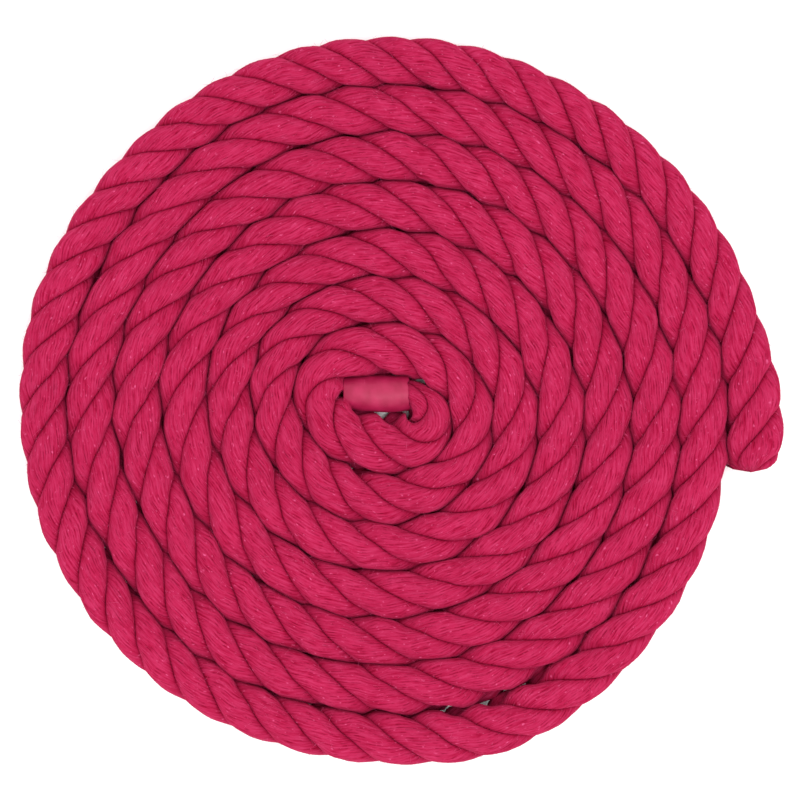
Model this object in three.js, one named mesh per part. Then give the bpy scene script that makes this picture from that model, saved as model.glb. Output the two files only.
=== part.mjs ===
// Lead rope: a bare three-strand cotton rope, laid right-handed and put away as a flat spiral coil.
//
// The three strands are separate solids that wind round each other along one shared route, and a short
// tape sleeve binds their inner ends. Millimetres, +Z up. The origin is under the middle of the coil, on
// the surface that the rope rests on. Seen from above, the rope runs clockwise from its taped inner end,
// in the middle of the coil, to its bare outer end on the +X side.

import * as THREE from 'three';

// ---- Driving dimensions ----

const ROPE_RADIUS = 8;
const STRANDS = ['strand_1', 'strand_2', 'strand_3'];
const UNDERSIDE_FLAT = 1.2; // how far the soft rope flattens where it rests on the surface
const PIECE_GAP = 0.3; // clearance between pieces, and between neighbouring turns
const LAY_LENGTHS = [ // at even steps from the inner to the outer end
  40, 49, 43, 51, 53, 47, 55, 55, 48, 51, 51, 50, 48, 50, 52, 48, 54, 50, 49, 49, 46, 43, 42, 43, 43,
];
const START_ANGLE = 22; // how far the lay has turned at the inner cut end, degrees

const TAPE_LENGTH = 21;
const TAPE_RADIUS = 6.15;
const TAPE_WALL = 0.6;
const TAPE_SIDES = 12;
const TAPED_ROPE_RADIUS = 5; // the strands are squeezed together inside the tape
const SWELL_START = 23; // just past the tape, the rope starts to swell ...
const SWELL_LENGTH = 10; // ... and reaches its full size over this length
const OUTER_END_LENGTH = 7; // the outer end narrows over this length ...
const OUTER_END_SCALE = 0.78; // ... to this part of its full size

// The coil: radius = COIL_START + COIL_PITCH x turns + what the uneven winding adds.
const COIL_START = 10.3;
const COIL_PITCH = 15.3;
const FIRST_TURN = 0.5;
const LAST_TURN = 7.031;
const POINTS_PER_TURN = 24;
const COIL_CENTRE_X = -4.2; // puts the origin in the middle of the whole rope's outline
const COIL_CENTRE_Y = 0.2;
const SHIFT_X = -0.6; // the turns sit a little off centre ...
const SHIFT_Y = 3.7;
const OVAL_X = 0.93; // ... and a little oval
const OVAL_Y = 1.07;

// Where a turn stands off from the even coil, or lies closer: turn, swell, reach.
const UNEVEN_PLACES = [
  [0.54, 2.9, 0.1], [1.02, 1.3, 0.08], [1.58, 2.3, 0.11], [2.57, 0.8, 0.07],
  [2.66, -1.1, 0.07], [2.9, -1.1, 0.09], [3.42, -1.3, 0.07], [3.61, -1.5, 0.07],
  [4.44, -1.2, 0.05], [4.6, -1.7, 0.07], [4.8, 0.7, 0.06], [5.26, -0.9, 0.04],
  [5.42, -1.2, 0.04], [5.59, -2.8, 0.07], [5.79, 0.6, 0.05], [6.1, 0.9, 0.06],
  [6.195, 3.9, 0.045], [6.5, -1.0, 0.05], [6.61, -2.5, 0.06], [6.785, 0.8, 0.05],
  [7.03, 1.4, 0.06],
];

// The uncoiled middle, as x, y points: along the tape, round the hairpin and back below it.
const MIDDLE_ROUTE = [
  [-13.4, 1.9], [-8.2, 1.9], [-2.8, 1.9], [2.6, 1.9], [7.8, 1.9], [11.8, 0.4],
  [14.8, -2.8], [15.6, -7.1], [14.2, -11.3], [10.8, -14.1], [6.4, -15.1], [1.6, -15.2],
  [-3.5, -14.6], [-8.4, -13.2], [-12.9, -11.0], [-16.9, -8.1], [-20.2, -4.3],
];
const ROPE_HEIGHT = ROPE_RADIUS - UNDERSIDE_FLAT;
const TAPE_HEIGHT = TAPE_RADIUS * Math.cos(Math.PI / TAPE_SIDES); // its lowest side lies on the surface

// ---- The route of the rope's centre line ----

function coilRadius(turn) {
  const angle = turn * 2 * Math.PI;
  let radius = COIL_START + COIL_PITCH * turn;
  radius += SHIFT_X * Math.cos(angle) + SHIFT_Y * Math.sin(angle);
  radius += OVAL_X * Math.cos(2 * angle) + OVAL_Y * Math.sin(2 * angle);
  for (const [centre, swell, reach] of UNEVEN_PLACES) {
    radius += swell * Math.exp(-(((turn - centre) / reach) ** 2));
  }
  return radius;
}

function makeRoute() {
  const tapedPoints = 5;
  const points = MIDDLE_ROUTE.map(([x, y], index) => (
    new THREE.Vector3(x, y, index < tapedPoints ? TAPE_HEIGHT : ROPE_HEIGHT)
  ));
  const coilSteps = Math.round((LAST_TURN - FIRST_TURN) * POINTS_PER_TURN);
  for (let step = 0; step <= coilSteps; step += 1) {
    const turn = THREE.MathUtils.lerp(FIRST_TURN, LAST_TURN, step / coilSteps);
    const angle = -turn * 2 * Math.PI; // clockwise from above
    const radius = coilRadius(turn);
    points.push(new THREE.Vector3(radius * Math.cos(angle), radius * Math.sin(angle), ROPE_HEIGHT));
  }
  const curve = new THREE.CatmullRomCurve3(points, false, 'catmullrom', 0.5);
  curve.arcLengthDivisions = 6000;
  return curve;
}

const route = makeRoute();
const ROPE_LENGTH = route.getLength();

// ---- Stations: the cross-sections at which the strands are laid out ----

function layLengthAt(distance) {
  const place = Math.min(distance / ROPE_LENGTH, 1) * (LAY_LENGTHS.length - 1);
  const index = Math.min(Math.floor(place), LAY_LENGTHS.length - 2);
  return THREE.MathUtils.lerp(LAY_LENGTHS[index], LAY_LENGTHS[index + 1], place - index);
}

// One station at each end, and one wherever the lay has turned by another full step. The steps are
// placed so that each strand passes evenly under the rope, which leaves it a flat facet to rest on.
// They are finer in the hairpin, where the rope bends most.
function stationPlaces() {
  const coarseStep = 60; // degrees of lay
  const fineStep = 30;
  const fineLength = 75;
  const shortestStep = 2.4; // between the last two stations
  const stride = 0.05;
  const places = [{ distance: 0, angle: START_ANGLE }];
  let angle = START_ANGLE;
  let nextAngle = coarseStep;
  for (let distance = 0; distance < ROPE_LENGTH - shortestStep; distance += stride) {
    angle += (360 * stride) / layLengthAt(distance);
    if (angle >= nextAngle) {
      places.push({ distance: distance + stride, angle: nextAngle });
      const isCoarse = distance > fineLength && nextAngle % coarseStep === 0;
      nextAngle += isCoarse ? coarseStep : fineStep;
    }
  }
  places.push({ distance: ROPE_LENGTH, angle });
  return places;
}

function ropeRadiusAt(distance) {
  const swollen = THREE.MathUtils.smoothstep(distance - SWELL_START, 0, SWELL_LENGTH);
  const toOuterEnd = Math.min((ROPE_LENGTH - distance) / OUTER_END_LENGTH, 1);
  const outerScale = OUTER_END_SCALE + (1 - OUTER_END_SCALE) * Math.sqrt(toOuterEnd);
  return THREE.MathUtils.lerp(TAPED_ROPE_RADIUS, ROPE_RADIUS, swollen) * outerScale;
}

// What a stretch of rope can lie against: the rope beside it, with which it shares the space between
// their centre lines, and the cut end of the tape, which it has to stay clear of.
function makeNeighbours() {
  const spacing = 1.5;
  const neighbours = [];
  for (let distance = ROPE_RADIUS; distance < ROPE_LENGTH - ROPE_RADIUS; distance += spacing) {
    neighbours.push({ distance, point: route.getPointAt(distance / ROPE_LENGTH), share: 0.5 });
  }
  for (const side of [-1, 0, 1]) {
    const point = route.getPointAt(0).add(new THREE.Vector3(0, side * TAPE_RADIUS, 0));
    neighbours.push({ distance: 0, point, share: 1 });
  }
  return neighbours;
}

// The room on each side of a station, up to its neighbours less their share of the gap.
function roomBeside(station, neighbours) {
  const ownLength = 20; // rope this near along the route is no neighbour
  const slice = { 0.5: 2, 1: 5 };
  const room = { inner: Infinity, outer: Infinity };
  for (const { point, distance, share } of neighbours) {
    const offset = point.clone().sub(station.point);
    const isBeside = Math.abs(offset.dot(station.tangent)) < slice[share];
    if (!isBeside || Math.abs(distance - station.distance) < ownLength) continue;
    const across = offset.dot(station.outward);
    const side = across > 0 ? 'outer' : 'inner';
    room[side] = Math.min(room[side], (Math.abs(across) - PIECE_GAP) * share);
  }
  return room;
}

function makeStations() {
  const insideOfBend = 0.8; // part of the bend's radius that the rope's inner side may fill
  const neighbours = makeNeighbours();
  const up = new THREE.Vector3(0, 0, 1);
  const stations = stationPlaces().map(({ distance, angle }) => {
    const tangent = route.getTangentAt(distance / ROPE_LENGTH).setZ(0).normalize();
    return {
      distance,
      angle: THREE.MathUtils.degToRad(angle),
      radius: ropeRadiusAt(distance),
      point: route.getPointAt(distance / ROPE_LENGTH),
      tangent,
      outward: new THREE.Vector3().crossVectors(up, tangent),
    };
  });
  stations.forEach((station, index) => {
    const before = stations[Math.max(index - 1, 0)];
    const after = stations[Math.min(index + 1, stations.length - 1)];
    const bendRadius = (after.distance - before.distance) / before.tangent.angleTo(after.tangent);
    const step = (after.distance - before.distance) / 2;
    const chordDip = step ** 2 / (8 * bendRadius);
    const room = roomBeside(station, neighbours);
    station.outerLimit = room.outer;
    station.innerLimit = Math.min(room.inner - chordDip, insideOfBend * bendRadius);
  });
  return stations;
}

const stations = makeStations();

// ---- A strand: one lobe of the rope's section, carried along the stations ----

// Corners of a lobe: degrees either side of its middle, and distance from the rope's centre line as a
// part of the rope's radius. The first is the narrow inner edge, and the rest go round the outside.
const LOBE = [[0, 0.075], [-57, 0.66], [-33, 0.94], [0, 1], [33, 0.94], [57, 0.66]];

function lobeCorners(station, strandIndex) {
  const middle = station.angle + (strandIndex * 2 * Math.PI) / STRANDS.length;
  return LOBE.map(([degrees, reach]) => {
    const angle = middle + THREE.MathUtils.degToRad(degrees);
    const across = THREE.MathUtils.clamp(
      station.radius * reach * Math.cos(angle),
      -station.innerLimit,
      station.outerLimit,
    );
    const corner = station.point.clone().addScaledVector(station.outward, across);
    corner.z = Math.max(corner.z + station.radius * reach * Math.sin(angle), 0);
    return corner;
  });
}

function strandGeometry(strandIndex) {
  const sides = LOBE.length;
  const corners = stations.flatMap((station) => lobeCorners(station, strandIndex));
  const triangles = [];
  for (let row = 0; row < stations.length - 1; row += 1) {
    for (let side = 0; side < sides; side += 1) {
      const a = row * sides + side;
      const b = row * sides + ((side + 1) % sides);
      const [c, d] = [b + sides, a + sides];
      // Each side is split along its shorter diagonal, except the first. It faces the next strand's
      // last side, and takes the matching diagonal, so that the two stay clear of each other.
      if (side === 0) triangles.push(a, b, c, a, c, d);
      else triangles.push(a, b, d, b, c, d);
    }
  }
  const lastRow = (stations.length - 1) * sides;
  for (let side = 1; side < sides - 1; side += 1) {
    triangles.push(0, side + 1, side);
    triangles.push(lastRow, lastRow + side, lastRow + side + 1);
  }
  const geometry = new THREE.BufferGeometry().setFromPoints(corners);
  geometry.setIndex(triangles);
  geometry.computeVertexNormals();
  return geometry;
}

// ---- The tape sleeve round the inner end ----

function tapeGeometry() {
  const firstCorner = Math.PI / TAPE_SIDES; // turns a flat side to the bottom
  const ring = new THREE.Shape();
  ring.absarc(0, 0, TAPE_RADIUS, firstCorner, firstCorner + 2 * Math.PI, false);
  const bore = new THREE.Path();
  bore.absarc(0, 0, TAPE_RADIUS - TAPE_WALL, firstCorner, firstCorner + 2 * Math.PI, true);
  ring.holes.push(bore);
  return new THREE.ExtrudeGeometry(ring, {
    depth: TAPE_LENGTH, bevelEnabled: false, curveSegments: TAPE_SIDES / 2,
  });
}

// ---- The assembly ----

const COTTON_RED = 0xbd2851;
const TAPE_PINK = 0xc83f68;

const leadRope = new THREE.Group();

STRANDS.forEach((name, index) => {
  const material = new THREE.MeshStandardMaterial({ color: COTTON_RED, roughness: 0.95, metalness: 0 });
  const strand = new THREE.Mesh(strandGeometry(index), material);
  strand.name = name;
  leadRope.add(strand);
});

const tape = new THREE.Mesh(
  tapeGeometry(),
  new THREE.MeshStandardMaterial({ color: TAPE_PINK, roughness: 0.45, metalness: 0 }),
);
tape.name = 'inner_end_tape';
tape.rotation.y = Math.PI / 2;
tape.position.set(MIDDLE_ROUTE[0][0], MIDDLE_ROUTE[0][1], TAPE_HEIGHT);
leadRope.add(tape);

leadRope.position.set(COIL_CENTRE_X, COIL_CENTRE_Y, 0);

export default leadRope;
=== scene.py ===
"""Lead rope: three-strand cotton rope, laid right-handed and put away as a flat spiral coil.

The rope's three strands are separate pieces that wind round each other along the route of the CAD model.
A fourth piece is the tape round the inner end. Loose cotton fibres stand off the strands.
Shapes are worked out in millimetres, and become metres when a mesh is made.
"""

import math

import bmesh
import bpy
import numpy as np
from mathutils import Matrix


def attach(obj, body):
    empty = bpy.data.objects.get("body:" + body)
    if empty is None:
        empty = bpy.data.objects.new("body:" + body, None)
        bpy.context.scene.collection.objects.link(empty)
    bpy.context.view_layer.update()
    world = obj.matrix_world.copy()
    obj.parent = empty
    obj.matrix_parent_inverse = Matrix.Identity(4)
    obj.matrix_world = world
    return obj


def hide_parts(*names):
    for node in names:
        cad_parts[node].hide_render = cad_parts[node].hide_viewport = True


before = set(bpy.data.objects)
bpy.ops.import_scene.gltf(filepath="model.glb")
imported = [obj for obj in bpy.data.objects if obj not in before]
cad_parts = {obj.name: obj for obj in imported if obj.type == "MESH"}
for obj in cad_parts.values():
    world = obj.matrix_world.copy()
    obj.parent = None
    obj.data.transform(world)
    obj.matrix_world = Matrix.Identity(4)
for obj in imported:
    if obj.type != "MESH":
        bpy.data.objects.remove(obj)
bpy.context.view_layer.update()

MM = 0.001
UP = np.array([0.0, 0.0, 1.0])

# ---- Driving dimensions, the same as the CAD model's ----

ROPE_RADIUS = 8.0
STRANDS = ["strand_1", "strand_2", "strand_3"]
UNDERSIDE_FLAT = 1.2
LAY_LENGTHS = [
    40, 49, 43, 51, 53, 47, 55, 55, 48, 51, 51, 50, 48, 50, 52, 48, 54, 50, 49, 49, 46, 43, 42, 43, 43,
]
START_ANGLE = 22.0

TAPE_LENGTH = 21.0
TAPE_RADIUS = 6.15
TAPE_SIDES = 12
TAPED_ROPE_RADIUS = 5.0
SWELL_START = 23.0
SWELL_LENGTH = 10.0

COIL_START = 10.3
COIL_PITCH = 15.3
FIRST_TURN = 0.5
LAST_TURN = 7.031
POINTS_PER_TURN = 24
COIL_CENTRE = np.array([-4.2, 0.2, 0.0])
SHIFT_X, SHIFT_Y = -0.6, 3.7
OVAL_X, OVAL_Y = 0.93, 1.07
UNEVEN_PLACES = [  # turn, swell, reach
    (0.54, 2.9, 0.1), (1.02, 1.3, 0.08), (1.58, 2.3, 0.11), (2.57, 0.8, 0.07),
    (2.66, -1.1, 0.07), (2.9, -1.1, 0.09), (3.42, -1.3, 0.07), (3.61, -1.5, 0.07),
    (4.44, -1.2, 0.05), (4.6, -1.7, 0.07), (4.8, 0.7, 0.06), (5.26, -0.9, 0.04),
    (5.42, -1.2, 0.04), (5.59, -2.8, 0.07), (5.79, 0.6, 0.05), (6.1, 0.9, 0.06),
    (6.195, 3.9, 0.045), (6.5, -1.0, 0.05), (6.61, -2.5, 0.06), (6.785, 0.8, 0.05),
    (7.03, 1.4, 0.06),
]
MIDDLE_ROUTE = [
    (-13.4, 1.9), (-8.2, 1.9), (-2.8, 1.9), (2.6, 1.9), (7.8, 1.9), (11.8, 0.4),
    (14.8, -2.8), (15.6, -7.1), (14.2, -11.3), (10.8, -14.1), (6.4, -15.1), (1.6, -15.2),
    (-3.5, -14.6), (-8.4, -13.2), (-12.9, -11.0), (-16.9, -8.1), (-20.2, -4.3),
]
TAPED_POINTS = 5
ROPE_HEIGHT = ROPE_RADIUS - UNDERSIDE_FLAT
TAPE_HEIGHT = TAPE_RADIUS * math.cos(math.pi / TAPE_SIDES)

# ---- The camera, straight above the coil ----

CAMERA_DISTANCE = 1500.0
VIEW_WIDTH = 258.6
VIEW_CENTRE = (0.65, 0.2)
SENSOR = 36.0


def add_camera():
    data = bpy.data.cameras.new("camera")
    data.sensor_width = SENSOR
    data.lens = SENSOR * CAMERA_DISTANCE / VIEW_WIDTH
    data.clip_start, data.clip_end = 0.05, 20.0
    camera = bpy.data.objects.new("camera", data)
    camera.location = (
        VIEW_CENTRE[0] * MM, VIEW_CENTRE[1] * MM, (CAMERA_DISTANCE + ROPE_HEIGHT) * MM,
    )
    bpy.context.scene.collection.objects.link(camera)
    bpy.context.scene.camera = camera


add_camera()

# ---- The route of the rope's centre line ----


def coil_radius(turn):
    """The radius of the route after this many turns: slightly oval, off centre, and uneven in places."""
    angle = turn * 2 * np.pi
    radius = COIL_START + COIL_PITCH * turn
    radius = radius + SHIFT_X * np.cos(angle) + SHIFT_Y * np.sin(angle)
    radius = radius + OVAL_X * np.cos(2 * angle) + OVAL_Y * np.sin(2 * angle)
    for centre, swell, reach in UNEVEN_PLACES:
        radius = radius + swell * np.exp(-(((turn - centre) / reach) ** 2))
    return radius


def route_points():
    """The listed points of the middle, then points on the spiral turns."""
    points = [
        (x, y, TAPE_HEIGHT if index < TAPED_POINTS else ROPE_HEIGHT)
        for index, (x, y) in enumerate(MIDDLE_ROUTE)
    ]
    steps = round((LAST_TURN - FIRST_TURN) * POINTS_PER_TURN)
    for turn in np.linspace(FIRST_TURN, LAST_TURN, steps + 1):
        angle = -turn * 2 * np.pi  # clockwise from above
        radius = coil_radius(turn)
        points.append((radius * np.cos(angle), radius * np.sin(angle), ROPE_HEIGHT))
    return np.array(points) + COIL_CENTRE


def through(points, steps):
    """Points along the smooth curve that passes through these points."""
    ends = [2 * points[0] - points[1]], [2 * points[-1] - points[-2]]
    knots = np.concatenate([ends[0], points, ends[1]])
    a, b, c, d = knots[:-3, None], knots[1:-2, None], knots[2:-1, None], knots[3:, None]
    t = np.linspace(0, 1, steps, endpoint=False)[None, :, None]
    curve = b + t / 2 * (c - a + t * (2 * a - 5 * b + 4 * c - d + t * (3 * b - a - 3 * c + d)))
    return np.concatenate([curve.reshape(-1, 3), points[-1:]])


STEPS_PER_POINT = 40
LINE = through(route_points(), STEPS_PER_POINT)
LINE_AT = np.concatenate([[0], np.cumsum(np.linalg.norm(np.diff(LINE, axis=0), axis=1))])
ROPE_LENGTH = LINE_AT[-1]


def along(values, distance):
    """Values given at the points of LINE, read at these distances along it."""
    if values.ndim == 1:
        return np.interp(distance, LINE_AT, values)
    return np.stack([np.interp(distance, LINE_AT, column) for column in values.T], axis=1)


def unit(vectors):
    return vectors / np.linalg.norm(vectors, axis=-1, keepdims=True)


def softened(values, spacing, reach):
    """Values at even spacing, each averaged with its neighbours within about this reach."""
    half = int(3 * reach / spacing) + 1
    weights = np.exp(-((np.arange(-half, half + 1) * spacing / reach) ** 2))
    padded = np.pad(values, half, mode="edge")
    return np.convolve(padded, weights / weights.sum(), mode="valid")


def wander(seed, distance, wavelength):
    """A smooth random function of distance, mostly between -1 and 1."""
    rng = np.random.default_rng(seed)
    total = 0
    for ratio in (1.0, 1.37, 1.9, 2.7):
        total = total + np.sin(distance * (2 * np.pi / (wavelength * ratio)) + rng.uniform(0, 2 * np.pi))
    return total / 2.2


# ---- What the rope does along its route ----

TABLE_STEP = 1.0
ROUND_END_LENGTH = 9.0  # the outer end is a rounded dome
END_LOOSE = 0.26  # near its free end, the rope is this much fuller on its outer side ...
END_LOOSE_LENGTH = 45.0  # ... over this last length ...
END_LOOSE_FADE = 25.0  # ... and it gets there over this one
TABLE = np.linspace(0, ROPE_LENGTH, int(ROPE_LENGTH / TABLE_STEP) + 1)
DIRECTIONS = unit(np.gradient(LINE, LINE_AT, axis=0) * [1, 1, 0])


def lay_angles():
    """How far the lay has turned, at the distances in TABLE."""
    lay = np.interp(TABLE / ROPE_LENGTH, np.linspace(0, 1, len(LAY_LENGTHS)), LAY_LENGTHS)
    rate = 2 * np.pi / lay
    steps = (rate[1:] + rate[:-1]) / 2 * np.diff(TABLE)
    return np.concatenate([[0], np.cumsum(steps)]) + math.radians(START_ANGLE)


def smoothstep(value):
    value = np.clip(value, 0, 1)
    return value * value * (3 - 2 * value)


def rope_radii(distance):
    """The rope's radius: thin under the tape, then full, and rounded off at the outer end."""
    swollen = smoothstep((distance - SWELL_START) / SWELL_LENGTH)
    radius = TAPED_ROPE_RADIUS + (ROPE_RADIUS - TAPED_ROPE_RADIUS) * swollen
    into_end = np.clip(1 - (ROPE_LENGTH - distance) / ROUND_END_LENGTH, 0, 1)
    return radius * np.clip(1 - into_end**2.2, 0.0005, 1) ** (1 / 2.1)


ANGLES = lay_angles()

# ---- A strand's section: one lobe of the rope ----

LOBE_CENTRE = 0.36  # all in rope radii: a lobe is an arc about this point ...
LOBE_RADIUS = 0.64
GROOVE_CUT = 0.07  # ... cut in sharply at the groove, beside the next strand
GROOVE_REACH = 3.0  # degrees
LOBE_HALF = 60.4  # degrees; past 60, a strand presses into the next one
OUTER_LEVELS = [60.4, 58.2, 53, 41, 24.5, 8]  # where the mesh has its columns, either side
FLANK = [(55, 0.35, 30), (0, 0.05, 0), (-55, 0.35, -30)]  # degrees, reach, and place along the yarn


def lobe_reach(degrees):
    """How far a lobe's surface is from the rope's middle, in rope radii."""
    turn = np.radians(degrees)
    arc = LOBE_CENTRE * np.cos(turn) + np.sqrt(LOBE_RADIUS**2 - (LOBE_CENTRE * np.sin(turn)) ** 2)
    return arc - GROOVE_CUT * np.exp(-(LOBE_HALF - np.abs(degrees)) / GROOVE_REACH)


def section_columns():
    """The columns round a strand: its section's points in rope radii, and the lay angle at each."""
    levels = np.array([-level for level in OUTER_LEVELS] + OUTER_LEVELS[::-1])
    degrees = np.concatenate([levels, [turn for turn, _, _ in FLANK]])
    reach = np.concatenate([lobe_reach(levels), [reach for _, reach, _ in FLANK]])
    leads = np.concatenate([levels, [lead for _, _, lead in FLANK]])
    to_groove = np.concatenate([LOBE_HALF - np.abs(levels), np.zeros(len(FLANK))])
    return reach * np.exp(1j * np.radians(degrees)), np.radians(leads), to_groove


# ---- How the rope lies against what is beside it ----

MOST_SQUEEZED = 0.7  # of its own reach to one side
MOST_SPREAD = 1.24  # where a lobe spreads into a groove beside it ...
MOST_SPREAD_IN_MIDDLE = 1.42  # ... and in the middle of the coil, beside the tape
MIDDLE_LENGTH = 140.0
MIDDLE_FADE = 40.0  # the fit gets smoother over this length before the middle's end
FIT_REACH = 1.4  # the fit is averaged over about this length of rope ...
MIDDLE_FIT_REACH = 3.0  # ... and over this one in the middle
OWN_LENGTH = 20.0  # rope nearer than this, along the rope, is the same turn
BESIDE_REACH = 0.9  # what is beside the rope is looked for this far before and behind
FAR_AWAY = 99.0
LEAST_SPREAD = 1.03  # a groove spreads no more than this
LOBE_FROM = 0.87  # a lobe is where the outline is further out than this, in rope radii
LOBE_FADE = 0.1
TURN_GAP = 0.05
LOW_OVERLAP = 0.4  # how far the undersides go past the middle of the space between two turns
CUT_END_GAP = 0.4
TAPE_OVERLAP = 0.1
INTERLOCK = 1.8  # how much further a lobe goes into a groove than their shapes alone would take it
INSIDE_OF_BEND = 0.95  # in a bend, the rope's inner side gets this far towards the bend's centre
BEND_REACH = 4.0  # the bend is averaged over about this length
SHOULDER = 0.07  # how far its shoulders stand out past a circle, in rope radii ...
SHOULDER_PLACE = 0.78  # ... and where they are
SHOULDER_WIDTH = 0.14
LOW_START = 1.5  # from this far below the centre line ...
LOW_REACH = 3.5  # ... and over this height, its underside widens to fill the room there is
FURTHEST = 12.3  # but no point gets further than this from the centre line


def silhouette_table():
    """How far the rope's section reaches sideways as the lay turns, in rope radii, over one lobe."""
    turns = np.linspace(0, 2 * np.pi / len(STRANDS), 181)
    degrees = np.linspace(-LOBE_HALF, LOBE_HALF, 241)
    lobe = lobe_reach(degrees) * np.exp(1j * np.radians(degrees))
    lobes = np.exp(2j * np.pi / len(STRANDS) * np.arange(len(STRANDS)))
    section = (lobe[:, None] * lobes).ravel()
    return turns, np.array([(section * np.exp(1j * turn)).real.max() for turn in turns])


SILHOUETTE = silhouette_table()


def silhouette(angle):
    turns, reach = SILHOUETTE
    return np.interp(angle % turns[-1], turns, reach)


def eased_along(values):
    """Values from TABLE, softened along the rope, and more so in the middle of the coil."""
    share = smoothstep((MIDDLE_LENGTH - TABLE) / MIDDLE_FADE)
    usual = softened(values, TABLE_STEP, FIT_REACH)
    smoother = softened(values, TABLE_STEP, MIDDLE_FIT_REACH)
    return usual * (1 - share) + smoother * share


def spread_to(ratio, outline):
    """How much the rope spreads to fill its room: lobes may, grooves hardly, and none across a wide gap."""
    is_lobe = smoothstep((outline - LOBE_FROM) / LOBE_FADE)
    most_of_lobe = np.where(TABLE < MIDDLE_LENGTH, MOST_SPREAD_IN_MIDDLE, MOST_SPREAD)
    most = LEAST_SPREAD + (most_of_lobe - LEAST_SPREAD) * is_lobe
    return np.where(ratio < most, ratio, np.maximum(most - 2 * (ratio - most), 1))


def fitted_beside(side):
    """How the rope lies on one side against what is beside it.

    Two turns side by side share the space between them: where one has a lobe and the other has a groove,
    the lobe fills the groove. Low down, their undersides settle against each other.
    """
    points = along(LINE, TABLE)
    tangents = unit(along(DIRECTIONS, TABLE))
    outward = np.cross(UP, tangents) * side
    radius = rope_radii(TABLE)
    facing = {1: radius * silhouette(ANGLES), -1: radius * silhouette(ANGLES + np.pi)}
    own = radius * silhouette(ANGLES + (0 if side > 0 else np.pi))
    room = np.full(len(TABLE), FAR_AWAY)
    low_room = np.zeros(len(TABLE))
    candidates = (TABLE > 0.5) & (TABLE < ROPE_LENGTH - 4)
    for index in np.flatnonzero(TABLE > SWELL_START):
        offset = points - points[index]
        across = offset @ outward[index]
        beside = candidates & (np.abs(offset @ tangents[index]) < BESIDE_REACH) & (across > 0)
        beside &= np.abs(TABLE - TABLE[index]) > OWN_LENGTH
        if not beside.any():
            continue
        nearest = np.flatnonzero(beside)[np.argmin(across[beside])]
        distance = across[nearest]
        if TABLE[nearest] > TAPE_LENGTH:
            faces_out = outward[nearest] @ outward[index] < 0
            reach = facing[side if faces_out else -side][nearest]
            room[index] = (distance - TURN_GAP + INTERLOCK * (own[index] - reach)) / 2
            low_room[index] = distance / 2 + LOW_OVERLAP
        elif abs(tangents[nearest] @ outward[index]) > 0.7:  # the cut end of the tape
            room[index] = low_room[index] = distance - CUT_END_GAP
        else:
            room[index] = distance - TAPE_RADIUS + TAPE_OVERLAP
            low_room[index] = distance - TAPE_RADIUS / 2
    spread = spread_to(room / own, own / np.maximum(radius, 0.1))
    return {
        "reach": own,
        "fit": eased_along(np.maximum(spread, MOST_SQUEEZED)),
        "low_room": eased_along(np.minimum(low_room, FURTHEST)),
    }


def rope_table():
    """Everything that shapes the rope along its length, at the distances in TABLE."""
    turning = np.linalg.norm(np.gradient(DIRECTIONS, LINE_AT, axis=0), axis=1)
    turning = softened(along(turning, TABLE), TABLE_STEP, BEND_REACH)
    bend_radius = 1 / np.maximum(turning, 1e-4)
    table = {"radius": rope_radii(TABLE), "inner_limit": INSIDE_OF_BEND * bend_radius}
    for side, sign in (("outer", 1), ("inner", -1)):
        for key, values in fitted_beside(sign).items():
            table[f"{side}_{key}"] = values
    table["outer_fit"] *= 1 + END_LOOSE * smoothstep(
        (TABLE - ROPE_LENGTH + END_LOOSE_LENGTH) / END_LOOSE_FADE
    )
    return table


ROPE = rope_table()


def eased(value, limit, softness=0.45):
    """Value, slowed as it nears the limit so that it never passes it."""
    over = np.maximum(value - (limit - softness), 0)
    return np.where(over > 0, limit - softness * np.exp(-over / softness), value)


def placed(distance, shape):
    """Points of the rope: shape is across + i x up from the centre line, at these distances."""
    def read(name):
        return np.interp(distance, TABLE, ROPE[name])

    across = shape.real
    share = np.abs(across) / np.maximum(read("radius"), 0.01)
    bulge = SHOULDER * np.exp(-(((share - SHOULDER_PLACE) / SHOULDER_WIDTH) ** 2))
    across = across + bulge * read("radius") * np.sign(across)
    low = smoothstep((-shape.imag - LOW_START) / LOW_REACH)
    half_width = np.sqrt(np.maximum(read("radius") ** 2 - shape.imag**2, 4.0))
    furthest = np.sqrt(FURTHEST**2 - shape.imag**2)
    for side, sign in (("outer", 1), ("inner", -1)):
        weight = np.clip(sign * across / np.maximum(read(side + "_reach"), 0.01), 0, 1) ** 2
        fitted = across * (1 + (read(side + "_fit") - 1) * weight)
        room = np.minimum(read(side + "_low_room"), furthest)
        weight = np.clip(sign * across / half_width, 0, 1) ** 0.5
        widened = sign * across * (1 + np.maximum(room / half_width - 1, 0) * weight)
        widened = np.clip(widened, sign * fitted, np.maximum(room, sign * fitted))
        across = np.where(weight > 0, fitted + (sign * widened - fitted) * low, fitted)
    across = -eased(-across, read("inner_limit"))
    flat = distance.ravel()
    points = along(LINE, flat)
    outward = np.cross(UP, unit(along(DIRECTIONS, flat)))
    points = points + across.ravel()[:, None] * outward
    height = along(LINE, flat)[:, 2] + shape.imag.ravel()
    points[:, 2] = -eased(-height, 0.0)
    return points


# ---- The strands' surface: rows that follow the yarns, two to a yarn ----

YARNS_ROUND_ROPE = 53
ROW_TURN = np.pi / YARNS_ROUND_ROPE
LAY_SWAY = 2.2  # degrees by which the grooves stray, from yarn to yarn
PAINTED_GROOVE_SHADE_SPAN = 7.0  # degrees over which painted shade darkens the colour towards a groove
YARN_TILT = 0.96  # 1 is yarns along the rope; more tilts them against the lay
FURROW_DEPTH = 0.16
FURROW_VARIES = 0.10
YARN_CROWN = 0.05  # how far a yarn's back stands up
YARN_VARIES = 0.05
FULLNESS_VARIES = 0.02


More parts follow.
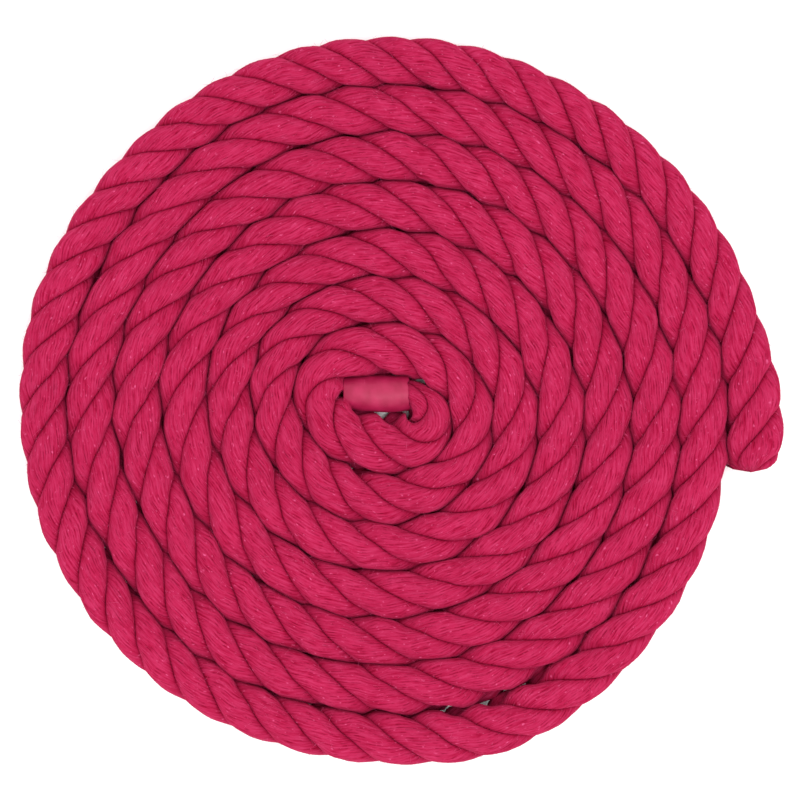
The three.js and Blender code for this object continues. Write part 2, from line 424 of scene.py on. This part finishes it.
def yarn_relief(seed, is_furrow, distance, leads):
    """How far each point stands up or lies low: it comes and goes along a yarn, and fades by the grooves."""
    yarn = np.arange(len(is_furrow)) // 2
    rng = np.random.default_rng(seed)
    depth = FURROW_DEPTH + FURROW_VARIES * rng.standard_normal(yarn.max() + 1).clip(-1.4, 1.6)
    crown = YARN_CROWN + YARN_VARIES * rng.standard_normal(yarn.max() + 1).clip(-1.5, 1.5)
    relief = np.where(is_furrow, -depth[yarn], crown[yarn])[:, None]
    relief = relief * np.clip(0.7 + 0.8 * wander(seed + 1, distance + 37.0 * yarn[:, None], 7), 0, 1.6)
    return relief * (1 - 0.85 * np.abs(leads / leads.max()) ** 3)


def strand_points(strand_index):
    """Points of a strand's rows, with the distance along the rope of each, and which rows are furrows."""
    section, leads, _ = section_columns()
    seed = 1000 * (strand_index + 1)
    phase = strand_index * 2 * np.pi / len(STRANDS)
    margin = np.radians(LOBE_HALF) / YARN_TILT
    turns = np.arange(ANGLES[0] - margin, ANGLES[-1] + margin + ROW_TURN, ROW_TURN)
    rows = len(turns)
    angle = np.clip(turns[:, None] - leads[None, :] / YARN_TILT, ANGLES[0], ANGLES[-1])
    distance = np.interp(angle, ANGLES, TABLE)
    is_furrow = np.arange(rows) % 2 == 0
    relief = yarn_relief(seed, is_furrow, distance, leads)
    radius = np.interp(distance, TABLE, ROPE["radius"])
    fullness = 1 + FULLNESS_VARIES * wander(seed + 300, distance, 31)
    normal = section - LOBE_CENTRE
    normal = normal / np.abs(normal)
    shape = section * radius * fullness + relief * normal * (radius / ROPE_RADIUS)
    sway = np.radians(LAY_SWAY) * wander(7, distance, 9)
    shape = shape * np.exp(1j * (angle + phase + sway))
    points = placed(distance, shape).reshape(rows, -1, 3)
    return points, distance, is_furrow


# ---- Meshes ----


def tube_faces(rows, columns):
    start = np.arange(rows - 1)[:, None] * columns
    here = np.arange(columns)[None, :]
    beside = (here + 1) % columns
    quads = np.stack(
        [start + here, start + beside, start + columns + beside, start + columns + here], axis=-1
    )
    return quads.reshape(-1, 4)


def add_mesh(name, points, faces, smooth=True):
    """A piece of this name, from points in millimetres."""
    mesh = bpy.data.meshes.new(name)
    mesh.from_pydata((points * MM).tolist(), [], [list(face) for face in faces])
    if smooth:
        mesh.shade_smooth()
    piece = bpy.data.objects.new(name, mesh)
    bpy.context.scene.collection.objects.link(piece)
    return piece


def add_attribute(piece, name, kind, values):
    field = "vector" if kind == "FLOAT_VECTOR" else "value"
    attribute = piece.data.attributes.new(name, kind, "POINT")
    attribute.data.foreach_set(field, np.asarray(values, dtype=np.float32).ravel())


def sharpen_furrows(piece, is_furrow, columns):
    """Keeps the furrows between yarns crisp, while each yarn's back is shaded round."""
    mesh = piece.data
    ends = np.empty(2 * len(mesh.edges), dtype=np.int32)
    mesh.edges.foreach_get("vertices", ends)
    row = np.minimum(ends.reshape(-1, 2) // columns, len(is_furrow) - 1)
    sharp = (row[:, 0] == row[:, 1]) & is_furrow[row[:, 0]]
    attribute = mesh.attributes.new("sharp_edge", "BOOLEAN", "EDGE")
    attribute.data.foreach_set("value", sharp)


def merge_doubles(piece):
    """Joins the points that meet at the strand's cut ends."""
    work = bmesh.new()
    work.from_mesh(piece.data)
    bmesh.ops.remove_doubles(work, verts=work.verts, dist=0.002 * MM)
    work.to_mesh(piece.data)
    work.free()


ROW_GAP = 0.475  # from one row to the next, for the pattern of the dye
STRAND_APART = 500.0  # keeps the strands' patterns apart


def add_strand(strand_index):
    """One strand, closed at both ends, with what its material reads at each point."""
    points, distance, is_furrow = strand_points(strand_index)
    rows, columns = distance.shape
    faces = tube_faces(rows, columns).tolist()
    last = (rows - 1) * columns
    faces.append(list(range(columns))[::-1])
    faces.append([last + column for column in range(columns)])
    piece = add_mesh(f"cotton_{STRANDS[strand_index]}", points.reshape(-1, 3), faces)
    across = np.broadcast_to(np.arange(rows)[:, None] * ROW_GAP, distance.shape)
    apart = np.full(distance.shape, STRAND_APART * strand_index)
    fibre = np.stack([across, distance, apart], axis=-1)
    add_attribute(piece, "fibre", "FLOAT_VECTOR", fibre)
    add_attribute(piece, "furrow", "FLOAT", np.broadcast_to(is_furrow[:, None], distance.shape))
    # painted shade mask: the colour darkens towards each groove, where shadow falls between the strands
    painted_shade = np.exp(-section_columns()[2] / PAINTED_GROOVE_SHADE_SPAN)
    add_attribute(piece, "groove", "FLOAT", np.broadcast_to(painted_shade, distance.shape))
    sharpen_furrows(piece, is_furrow, columns)
    merge_doubles(piece)
    return piece


# ---- Loose fibres: short fine hairs that stand off the strands ----

HAIRS_PER_STRAND = 1900
HAIR_RADIUS = 0.045
HAIR_TIP = 0.35  # of its radius
HAIR_KNOTS = 4
HAIR_LENGTHS = (1.0, 3.2)
HAIR_RISES = (0.15, 0.6)  # how steeply it leaves the strand
HAIR_STRAYS = 0.7
HAIR_BOWS = 0.35
HAIR_ROOT_DEPTH = 0.12
HAIRS_ABOVE = 3.0  # there are none below this height


def hair_points(strand_index):
    """The middle lines of one strand's hairs, as points of hair x knot."""
    points, distance, _ = strand_points(strand_index)
    rng = np.random.default_rng(40 + strand_index)
    rows = rng.integers(4, len(points) - 4, 3 * HAIRS_PER_STRAND)
    columns = rng.integers(1, 2 * len(OUTER_LEVELS) - 2, len(rows))
    roots = points[rows, columns]
    along_yarn = unit(points[rows, columns + 1] - points[rows, columns - 1])
    across_yarn = unit(points[rows + 2, columns] - points[rows - 2, columns])
    normal = unit(np.cross(across_yarn, along_yarn))
    normal *= np.sign(normal[:, 2:] + 0.15)
    seen = (roots[:, 2] > HAIRS_ABOVE) & (normal[:, 2] > -0.15)
    seen &= distance[rows, columns] < ROPE_LENGTH - ROUND_END_LENGTH
    chosen = np.flatnonzero(seen)[:HAIRS_PER_STRAND]
    roots, normal, along_yarn = roots[chosen], normal[chosen], along_yarn[chosen]
    count = len(chosen)
    length = rng.uniform(*HAIR_LENGTHS, (count, 1))
    either_way = along_yarn * rng.choice([-1, 1], (count, 1))
    heading = unit(either_way + HAIR_STRAYS * rng.standard_normal((count, 3)))
    rise = rng.uniform(*HAIR_RISES, (count, 1))
    bow = HAIR_BOWS * rng.standard_normal((count, 3))
    knots = []
    for share in np.linspace(0, 1, HAIR_KNOTS):
        step = heading * share + normal * (rise * share * (1.4 - share)) + bow * share**2
        knots.append(roots - HAIR_ROOT_DEPTH * normal + length * step)
    return np.stack(knots, axis=1)


def add_loose_fibres():
    """All the hairs as one piece, each a thin three-sided rod."""
    lines = np.concatenate([hair_points(index) for index in range(len(STRANDS))])
    lines[..., 2] = np.clip(lines[..., 2], 0.1, 2 * ROPE_RADIUS - 1.4)
    tangent = unit(np.gradient(lines, axis=1))
    side = unit(np.cross(tangent, UP) + 1e-6)
    over = np.cross(side, tangent)
    taper = np.linspace(1, HAIR_TIP, HAIR_KNOTS)[None, :, None] * HAIR_RADIUS
    corners = [
        lines + taper * (math.cos(turn) * side + math.sin(turn) * over)
        for turn in (math.pi / 2, math.pi * 7 / 6, math.pi * 11 / 6)
    ]
    points = np.stack(corners, axis=2)
    one = tube_faces(HAIR_KNOTS, 3).tolist()
    last = 3 * (HAIR_KNOTS - 1)
    caps = [[2, 1, 0], [last, last + 1, last + 2]]
    faces = []
    for hair in range(len(lines)):
        start = hair * 3 * HAIR_KNOTS
        faces += [[start + corner for corner in face] for face in one + caps]
    return add_mesh("loose_cotton_fibres", points.reshape(-1, 3), faces)


# ---- Materials ----


def new_material(name):
    """A material with one shader, and that shader."""
    material = bpy.data.materials.new(name)
    material.use_nodes = True
    nodes = material.node_tree.nodes
    nodes.clear()
    output = nodes.new("ShaderNodeOutputMaterial")
    shader = nodes.new("ShaderNodeBsdfPrincipled")
    material.node_tree.links.new(shader.outputs[0], output.inputs[0])
    return material, shader


def node(material, kind, inputs=None, **settings):
    """A new node: inputs are values, or the outputs of other nodes, by socket name or number."""
    made = material.node_tree.nodes.new(kind)
    for key, value in settings.items():
        setattr(made, key, value)
    for key, value in (inputs or {}).items():
        socket = made.inputs[key]
        if isinstance(value, bpy.types.NodeSocket):
            material.node_tree.links.new(value, socket)
        else:
            socket.default_value = value
    return made


def linear(red, green, blue):
    """An sRGB colour, 0 to 255, as linear numbers."""
    channels = [channel / 255 for channel in (red, green, blue)]
    curve = [c / 12.92 if c <= 0.04045 else ((c + 0.055) / 1.055) ** 2.4 for c in channels]
    return (*curve, 1.0)


def stretched_noise(material, vector, scale, detail=3.0, roughness=0.6):
    """Noise over the fibre coordinates, with these scales round, round and along the strand."""
    mapping = node(material, "ShaderNodeMapping", {"Vector": vector, "Scale": scale})
    return node(
        material, "ShaderNodeTexNoise",
        {"Vector": mapping.outputs[0], "Scale": 1.0, "Detail": detail, "Roughness": roughness},
    ).outputs["Fac"]


def ramp(material, fac, stops):
    made = node(material, "ShaderNodeValToRGB", {"Fac": fac})
    elements = made.color_ramp.elements
    while len(elements) < len(stops):
        elements.new(0.5)
    for element, (position, colour) in zip(elements, stops):
        element.position = position
        element.color = colour
    return made.outputs["Color"]


def mixed(material, factor, first, second, blend="MIX"):
    """Two colours mixed; the mix node has sockets for other kinds too, so these go by number."""
    made = node(material, "ShaderNodeMix", data_type="RGBA", blend_type=blend)
    for key, value in ((0, factor), (6, first), (7, second)):
        if isinstance(value, bpy.types.NodeSocket):
            material.node_tree.links.new(value, made.inputs[key])
        else:
            made.inputs[key].default_value = value
    return made.outputs[2]


def cotton_material():
    """Dyed cotton: streaks along the yarns, painted shade in the furrows and grooves, and specks of pale
    lint.
    """
    material, shader = new_material("dyed_cotton")
    fibre = node(material, "ShaderNodeAttribute", attribute_name="fibre").outputs["Vector"]
    streaks = stretched_noise(material, fibre, (1.5, 0.14, 1.0), 4.0, 0.65)
    colour = ramp(material, streaks, [
        (0.32, linear(138, 5, 44)), (0.46, linear(161, 27, 67)), (0.66, linear(173, 44, 84)),
    ])
    patches = stretched_noise(material, fibre, (0.10, 0.035, 1.0), 2.0)
    tint = ramp(material, patches, [(0.3, (0.90, 0.82, 0.86, 1)), (0.7, (1.0, 1.0, 1.0, 1))])
    colour = mixed(material, 1.0, colour, tint, "MULTIPLY")
    furrow = node(material, "ShaderNodeAttribute", attribute_name="furrow").outputs["Fac"]
    groove = node(material, "ShaderNodeAttribute", attribute_name="groove").outputs["Fac"]
    # painted shade: the furrows between yarns are darkened, broken into dashes by noise
    breaks = ramp(material, stretched_noise(material, fibre, (0.8, 0.30, 1.0), 2.0), [
        (0.38, (0, 0, 0, 1)), (0.62, (1, 1, 1, 1)),
    ])
    depth = node(
        material, "ShaderNodeMath", {0: furrow, 1: breaks}, operation="MULTIPLY"
    ).outputs[0]
    painted_shade = ramp(material, depth, [(0.35, (1, 1, 1, 1)), (1.0, (0.60, 0.2, 0.42, 1))])
    colour = mixed(material, 1.0, colour, painted_shade, "MULTIPLY")
    # painted shade in the grooves between strands: the colour is darkened towards each groove
    painted_groove_shade = ramp(material, groove, [(0.0, (1, 1, 1, 1)), (1.0, (0.68, 0.08, 0.42, 1))])
    colour = mixed(material, 1.0, colour, painted_groove_shade, "MULTIPLY")
    lint = ramp(material, stretched_noise(material, fibre, (1.1, 0.55, 1.0), 1.0), [
        (0.66, (0, 0, 0, 1)), (0.80, (1, 1, 1, 1)),
    ])
    colour = mixed(material, lint, colour, linear(192, 72, 114))
    material.node_tree.links.new(colour, shader.inputs["Base Color"])
    hairs = stretched_noise(material, fibre, (5.0, 0.6, 1.0), 3.0, 0.7)
    bump = node(
        material, "ShaderNodeBump", {"Height": hairs, "Strength": 0.7, "Distance": 0.3 * MM}
    )
    material.node_tree.links.new(bump.outputs[0], shader.inputs["Normal"])
    roughness = node(
        material, "ShaderNodeMapRange", {"Value": streaks, "To Min": 0.95, "To Max": 0.8}
    )
    material.node_tree.links.new(roughness.outputs[0], shader.inputs["Roughness"])
    shader.inputs["Specular IOR Level"].default_value = 0.05
    shader.inputs["Sheen Weight"].default_value = 0.07
    shader.inputs["Sheen Roughness"].default_value = 0.4
    shader.inputs["Sheen Tint"].default_value = linear(255, 90, 150)
    return material


def fibre_material():
    """The loose fibres, paler than the strands."""
    material, shader = new_material("loose_cotton_fibre")
    place = node(material, "ShaderNodeTexCoord").outputs["Object"]
    patches = node(
        material, "ShaderNodeTexNoise", {"Vector": place, "Scale": 300.0, "Detail": 2.0}
    ).outputs["Fac"]
    colour = ramp(material, patches, [(0.35, linear(170, 34, 76)), (0.65, linear(204, 84, 128))])
    material.node_tree.links.new(colour, shader.inputs["Base Color"])
    shader.inputs["Roughness"].default_value = 0.9
    shader.inputs["Specular IOR Level"].default_value = 0.1
    return material


def tape_material():
    """Smooth tape with soft creases."""
    material, shader = new_material("pink_tape")
    place = node(material, "ShaderNodeTexCoord").outputs["Object"]
    mapping = node(
        material, "ShaderNodeMapping",
        {"Vector": place, "Rotation": (0.3, 0.2, 0.9), "Scale": (210, 150, 170)},
    )
    patches = node(
        material, "ShaderNodeTexNoise", {"Vector": mapping.outputs[0], "Scale": 1.0, "Detail": 3.0}
    ).outputs["Fac"]
    colour = ramp(material, patches, [(0.35, linear(140, 12, 56)), (0.65, linear(157, 24, 69))])
    material.node_tree.links.new(colour, shader.inputs["Base Color"])
    bump = node(
        material, "ShaderNodeBump", {"Height": patches, "Strength": 0.6, "Distance": 0.5 * MM}
    )
    material.node_tree.links.new(bump.outputs[0], shader.inputs["Normal"])
    shader.inputs["Roughness"].default_value = 0.5
    shader.inputs["Specular IOR Level"].default_value = 0.3
    return material


# ---- The tape ----

TAPE_WALL = 0.5
TAPE_ROWS = 64
TAPE_COLUMNS = 96
TAPE_RADII = [  # distance from the cut end, and outer radius there
    (0, 4.6), (0.6, 4.9), (2.5, 5.4), (6, 5.8), (11, 6.0), (16, 6.0), (19.5, 5.85), (21, 5.7),
]
TAPE_ROUNDING = 0.8
TAPE_LEAN = 0.7  # where it narrows, it keeps its outer side straight
TAPE_LOBES = 0.12  # how far the three strands inside show through
TAPE_RAGGED = 0.45  # its inner edge is ragged
TAPE_FINE_RAGGED = 0.2
TAPE_LOWEST = 0.02


def tape_radii(distances):
    """The tape's outer radius: narrower at the cut end, fullest past the middle."""
    places, radii = zip(*TAPE_RADII)
    return softened(np.interp(distances, places, radii), distances[1] - distances[0], TAPE_ROUNDING)


def tape_surface(inset, distances):
    """The tape's outside, or its inside where inset is its wall: rows of points round the rope."""
    outer_radius = tape_radii(distances)
    around = np.linspace(0, 2 * np.pi, TAPE_COLUMNS, endpoint=False)
    lay = np.interp(distances, TABLE, ANGLES)
    lobes = TAPE_LOBES * (np.abs(np.cos(1.5 * (around[None, :] - lay[:, None]))) - 0.64)
    radius = outer_radius[:, None] - inset + lobes
    point = along(LINE, distances)
    outward = np.array([0.0, 1.0, 0.0])
    lean = TAPE_LEAN * (TAPE_RADIUS - outer_radius)
    across = radius * np.cos(around)[None, :] + lean[:, None]
    points = point[:, None, :] + across[..., None] * outward
    points[..., 2] = np.maximum(point[:, None, 2] + radius * np.sin(around)[None, :], TAPE_LOWEST)
    round_edge = around * TAPE_RADIUS
    ragged = TAPE_RAGGED * wander(8, round_edge, 9.0) + TAPE_FINE_RAGGED * wander(9, round_edge, 3.0)
    points[..., 0] += ragged[None, :] * ((distances / TAPE_LENGTH) ** 10)[:, None]
    return points


def add_tape():
    distances = np.linspace(0, TAPE_LENGTH, TAPE_ROWS)
    outer = tape_surface(0.0, distances)
    inner = tape_surface(TAPE_WALL, distances)[::-1]
    rows = np.concatenate([outer, inner])
    faces = tube_faces(len(rows), TAPE_COLUMNS).tolist()
    last = (len(rows) - 1) * TAPE_COLUMNS
    for column in range(TAPE_COLUMNS):
        beside = (column + 1) % TAPE_COLUMNS
        faces.append([last + column, last + beside, beside, column])
    return add_mesh("end_tape_band", rows.reshape(-1, 3), faces)


# ---- The room: a pale floor and soft light ----

WORLD_LIGHT = 1.6
KEY_PLACE = (0.3, -0.5, 1.8)
KEY_SIZE = 0.7
KEY_POWER = 12


def add_floor():
    half, below = 3000.0, 0.05
    corners = np.array([(-half, -half, 0), (half, -half, 0), (half, half, 0), (-half, half, 0)])
    floor = add_mesh("floor", corners - [0, 0, below], [[0, 1, 2, 3]], smooth=False)
    material, shader = new_material("pale_floor")
    shader.inputs["Base Color"].default_value = (1, 1, 1, 1)
    shader.inputs["Roughness"].default_value = 0.9
    floor.data.materials.append(material)


def add_area_light(name, location, size, power):
    """A soft round light that faces the origin; in metres and watts."""
    data = bpy.data.lights.new(name, "AREA")
    data.shape = "DISK"
    data.size = size
    data.energy = power
    light = bpy.data.objects.new(name, data)
    light.location = location
    direction = np.array(location)
    light.rotation_euler = (
        math.acos(direction[2] / np.linalg.norm(direction)), 0,
        math.atan2(direction[1], direction[0]) + math.pi / 2,
    )
    bpy.context.scene.collection.objects.link(light)


def add_light():
    """Even light from all round, and a soft key light from the front."""
    world = bpy.data.worlds.new("studio")
    world.use_nodes = True
    world.node_tree.nodes["Background"].inputs["Color"].default_value = (1, 1, 1, 1)
    world.node_tree.nodes["Background"].inputs["Strength"].default_value = WORLD_LIGHT
    bpy.context.scene.world = world
    add_area_light("key", KEY_PLACE, KEY_SIZE, KEY_POWER)
    bpy.context.scene.view_settings.view_transform = "Standard"


# ---- Putting it together ----

add_floor()
add_light()

cotton = cotton_material()
strands = [add_strand(index) for index in range(len(STRANDS))]
for strand, cad_node in zip(strands, STRANDS):
    strand.data.materials.append(cotton)
    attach(strand, "root")
    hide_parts(cad_node)

tape = add_tape()
tape.data.materials.append(tape_material())
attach(tape, "root")
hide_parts("inner_end_tape")

fibres = add_loose_fibres()
fibres.data.materials.append(fibre_material())
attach(fibres, "root")
